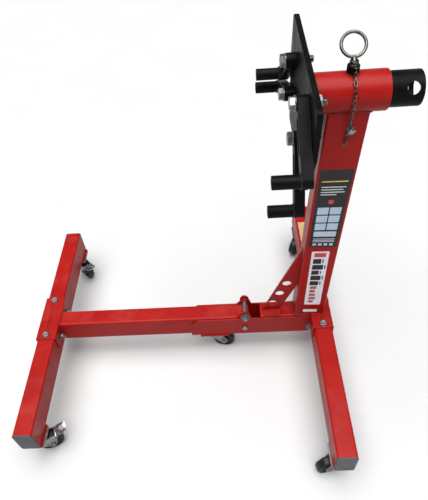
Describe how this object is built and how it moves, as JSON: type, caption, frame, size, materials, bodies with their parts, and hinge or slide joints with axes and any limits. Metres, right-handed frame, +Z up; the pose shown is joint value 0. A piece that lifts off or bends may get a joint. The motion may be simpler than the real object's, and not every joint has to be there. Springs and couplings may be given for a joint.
{
  "type": "rotating engine stand",
  "caption": "Folding wheeled floor stand with a leaning column, a rotating head plate with adjustable mounting arms and a ring lock pin.",
  "frame": {"origin": "centre of the overall box at floor level, on the stand's middle plane", "axes": "+X runs along the base beam from the front crossbar to the column and the pivot tube's handle end, +Y across the stand, +Z up"},
  "size_m": [0.9434, 0.8562, 0.9493],
  "materials": {
    "red_paint": "gloss red powder coat",
    "black_paint": "satin black powder coat",
    "zinc_steel": "zinc plated steel",
    "plated_steel": "bright nickel plated steel",
    "wheel_rubber": "hard black plastic wheel",
    "cap_plastic": "dark grey moulded plastic"
  },
  "bodies": {
    "rear_frame": {"rear_crossbar": "red_paint", "rear_end_caps": "cap_plastic", "rear_saddle": "red_paint", "rear_saddle_bolts": "zinc_steel", "rear_saddle_nuts": "zinc_steel", "base_channel": "red_paint", "stub_tube": "red_paint", "gusset_brace": "red_paint", "column": "red_paint", "pivot_housing": "red_paint", "lock_boss": "black_paint", "fold_pivot_bolt": "zinc_steel", "fold_pivot_nut": "zinc_steel", "lock_chain": "plated_steel", "chain_anchor": "plated_steel", "rear_caster_plates": "zinc_steel", "rear_caster_bolts": "zinc_steel"},
    "front_leg": {"front_beam": "red_paint", "front_beam_lugs": "red_paint", "front_saddle": "red_paint", "front_saddle_bolts": "zinc_steel", "front_saddle_nuts": "zinc_steel", "front_crossbar": "red_paint", "front_end_caps": "cap_plastic", "front_caster_plates": "zinc_steel", "front_caster_bolts": "zinc_steel"},
    "fold_lock": {"fold_lock_pin": "zinc_steel"},
    "head": {"pivot_tube": "black_paint", "head_plate": "black_paint", "arm_bolts": "zinc_steel", "arm_nuts": "zinc_steel"},
    "lock_pin": {"lock_pin": "plated_steel", "pull_ring": "plated_steel"},
    "arm_far_upper": {"arm_far_upper": "black_paint", "sleeve_far_upper": "black_paint"},
    "arm_far_lower": {"arm_far_lower": "black_paint", "sleeve_far_lower": "black_paint"},
    "arm_near_upper": {"arm_near_upper": "black_paint", "sleeve_near_upper": "black_paint"},
    "arm_near_lower": {"arm_near_lower": "black_paint", "sleeve_near_lower": "black_paint"},
    "fork_front_near": {"fork_front_near": "zinc_steel", "axle_front_near": "zinc_steel"},
    "wheel_front_near": {"wheel_front_near": "wheel_rubber"},
    "brake_front_near": {"brake_front_near": "zinc_steel"},
    "fork_front_far": {"fork_front_far": "zinc_steel", "axle_front_far": "zinc_steel"},
    "wheel_front_far": {"wheel_front_far": "wheel_rubber"},
    "brake_front_far": {"brake_front_far": "zinc_steel"},
    "fork_rear_near": {"fork_rear_near": "zinc_steel", "axle_rear_near": "zinc_steel"},
    "wheel_rear_near": {"wheel_rear_near": "wheel_rubber"},
    "fork_rear_far": {"fork_rear_far": "zinc_steel", "axle_rear_far": "zinc_steel"},
    "wheel_rear_far": {"wheel_rear_far": "wheel_rubber"},
    "fork_centre": {"fork_centre": "zinc_steel", "axle_centre": "zinc_steel"},
    "wheel_centre": {"wheel_centre": "wheel_rubber"}
  },
  "joints": [
    {"name": "front_leg_fold", "type": "hinge", "parent": "rear_frame", "child": "front_leg", "pos_m": [0.14065, 0, 0.178], "axis": [0, 1, 0], "range_deg": [0, 90]},
    {"name": "fold_lock_pull", "type": "slide", "parent": "rear_frame", "child": "fold_lock", "axis": [0, -1, 0], "range_m": [0, 0.075]},
    {"name": "head_rotation", "type": "hinge", "parent": "rear_frame", "child": "head", "pos_m": [0.45165, 0, 0.851], "axis": [1, 0, 0], "continuous": true},
    {"name": "lock_pin_lift", "type": "slide", "parent": "rear_frame", "child": "lock_pin", "axis": [0, 0, 1], "range_m": [0, 0.045]},
    {"name": "arm_far_upper_swing", "type": "hinge", "parent": "head", "child": "arm_far_upper", "pos_m": [0.25465, 0.077, 0.881], "axis": [1, 0, 0], "range_deg": [0, 95]},
    {"name": "arm_far_lower_swing", "type": "hinge", "parent": "head", "child": "arm_far_lower", "pos_m": [0.25465, 0.077, 0.809], "axis": [1, 0, 0], "range_deg": [-60, 0]},
    {"name": "arm_near_upper_swing", "type": "hinge", "parent": "head", "child": "arm_near_upper", "pos_m": [0.25465, -0.077, 0.881], "axis": [1, 0, 0], "range_deg": [-95, 0]},
    {"name": "arm_near_lower_swing", "type": "hinge", "parent": "head", "child": "arm_near_lower", "pos_m": [0.25465, -0.077, 0.809], "axis": [1, 0, 0], "range_deg": [-32, 55]},
    {"name": "swivel_front_near", "type": "hinge", "parent": "front_leg", "child": "fork_front_near", "pos_m": [-0.43135, -0.32, 0.066], "axis": [0, 0, 1], "continuous": true},
    {"name": "roll_front_near", "type": "hinge", "parent": "fork_front_near", "child": "wheel_front_near", "pos_m": [-0.40597, -0.30817, 0.0315], "axis": [-0.4226, 0.9063, 0], "continuous": true},
    {"name": "brake_press_front_near", "type": "hinge", "parent": "fork_front_near", "child": "brake_front_near", "pos_m": [-0.39147, -0.3014, 0.062], "axis": [-0.4226, 0.9063, 0], "range_deg": [0, 22]},
    {"name": "swivel_front_far", "type": "hinge", "parent": "front_leg", "child": "fork_front_far", "pos_m": [-0.43135, 0.32, 0.066], "axis": [0, 0, 1], "continuous": true},
    {"name": "roll_front_far", "type": "hinge", "parent": "fork_front_far", "child": "wheel_front_far", "pos_m": [-0.41155, 0.3002, 0.0315], "axis": [0.7071, 0.7071, 0], "continuous": true},
    {"name": "brake_press_front_far", "type": "hinge", "parent": "fork_front_far", "child": "brake_front_far", "pos_m": [-0.40024, 0.28889, 0.062], "axis": [0.7071, 0.7071, 0], "range_deg": [0, 22]},
    {"name": "swivel_rear_near", "type": "hinge", "parent": "rear_frame", "child": "fork_rear_near", "pos_m": [0.35665, -0.386, 0.066], "axis": [0, 0, 1], "continuous": true},
    {"name": "roll_rear_near", "type": "hinge", "parent": "fork_rear_near", "child": "wheel_rear_near", "pos_m": [0.32974, -0.39372, 0.0315], "axis": [0.2756, -0.9613, 0], "continuous": true},
    {"name": "swivel_rear_far", "type": "hinge", "parent": "rear_frame", "child": "fork_rear_far", "pos_m": [0.35665, 0.386, 0.066], "axis": [0, 0, 1], "continuous": true},
    {"name": "roll_rear_far", "type": "hinge", "parent": "fork_rear_far", "child": "wheel_rear_far", "pos_m": [0.33941, 0.36394, 0.0315], "axis": [0.788, -0.6157, 0], "continuous": true},
    {"name": "swivel_centre", "type": "hinge", "parent": "rear_frame", "child": "fork_centre", "pos_m": [0.04765, 0, 0.066], "axis": [0, 0, 1], "continuous": true},
    {"name": "roll_centre", "type": "hinge", "parent": "fork_centre", "child": "wheel_centre", "pos_m": [0.07538, -0.0039, 0.0315], "axis": [0.1392, 0.9903, 0], "continuous": true}
  ]
}
